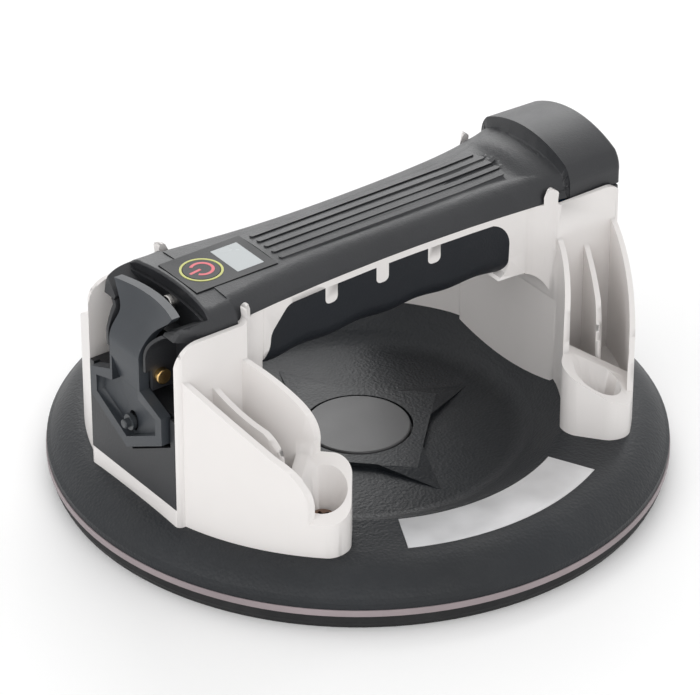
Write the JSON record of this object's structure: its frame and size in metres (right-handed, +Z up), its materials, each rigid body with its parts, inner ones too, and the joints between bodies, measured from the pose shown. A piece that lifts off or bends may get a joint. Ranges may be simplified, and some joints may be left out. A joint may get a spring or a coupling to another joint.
{
  "type": "suction lifter",
  "caption": "Round vacuum pad with a bridge handle over it, a control panel with a button and display, a release lever at one end and a battery cap at the other.",
  "frame": {"origin": "centre of the pad's underside, on the tile", "axes": "+X along the handle from the release lever to the battery cap, +Y across the handle away from the label plate, +Z up"},
  "size_m": [0.2006, 0.2006, 0.0972],
  "materials": {
    "seal_rubber": "matte",
    "gasket": "matte",
    "pad_plastic": "fine leather grain",
    "label": "satin",
    "cap_plastic": "satin",
    "grip_rubber": "matte",
    "frame_plastic": "satin",
    "screw_steel": "plain",
    "shell_plastic": "satin",
    "panel_plastic": "satin",
    "display": "gloss",
    "ring_plastic": "satin",
    "board": "satin",
    "sensor_steel": "plain",
    "brass": "polished",
    "valve_plastic": "satin",
    "tube_rubber": "satin",
    "filter": "porous",
    "cell": "satin",
    "foam": "foam",
    "lever_plastic": "satin",
    "stem_plastic": "satin"
  },
  "bodies": {
    "housing": {"rubber_seal": "seal_rubber", "gasket_ring": "gasket", "base_plate": "pad_plastic", "label_plate": "label", "centre_cap": "cap_plastic", "grip_pad": "grip_rubber", "frame": "frame_plastic", "frame_screws": "screw_steel", "handle_shell": "shell_plastic", "shell_screws": "screw_steel", "cavity_screw": "screw_steel", "control_panel": "panel_plastic", "display_window": "display", "button_light_ring": "ring_plastic", "control_board": "board", "tact_switch": "panel_plastic", "display_module": "board", "pressure_sensor": "sensor_steel", "hinge_pin": "brass", "end_cover": "shell_plastic", "valve_body": "valve_plastic", "valve_tube": "tube_rubber", "pump_tube": "tube_rubber", "tube_fitting": "valve_plastic", "suction_filter": "filter", "pump_motor": "sensor_steel", "pump_head": "valve_plastic", "pump_diaphragm": "seal_rubber", "pump_lid": "valve_plastic", "battery_cells": "cell", "lower_contact": "sensor_steel", "upper_contact": "sensor_steel", "battery_foam": "foam", "battery_cover": "shell_plastic", "charge_socket": "sensor_steel"},
    "button": {"power_button": "panel_plastic"},
    "lever": {"release_lever": "lever_plastic", "lever_spring": "sensor_steel"},
    "stem": {"valve_stem": "stem_plastic", "valve_seal": "seal_rubber"},
    "rotor": {"pump_rotor": "sensor_steel"}
  },
  "joints": [
    {"name": "button_press", "type": "slide", "parent": "housing", "child": "button", "axis": [0, 0, -1], "range_m": [0, 0.0006], "stiffness_N_per_m": 800},
    {"name": "lever_press", "type": "hinge", "parent": "housing", "child": "lever", "pos_m": [-0.0824, 0, 0.065], "axis": [0, 1, 0], "range_deg": [0, 8], "stiffness_Nm_per_rad": 1.2},
    {"name": "valve_pull", "type": "slide", "parent": "housing", "child": "stem", "axis": [-1, 0, 0], "range_m": [0, 0.003]},
    {"name": "pump_spin", "type": "hinge", "parent": "housing", "child": "rotor", "pos_m": [-0.0686, 0, 0.063], "axis": [0, 1, 0], "continuous": true}
  ],
  "couplings": [
    {"joint": "valve_pull", "follows": "lever_press", "m_per_rad": 0.0207}
  ]
}
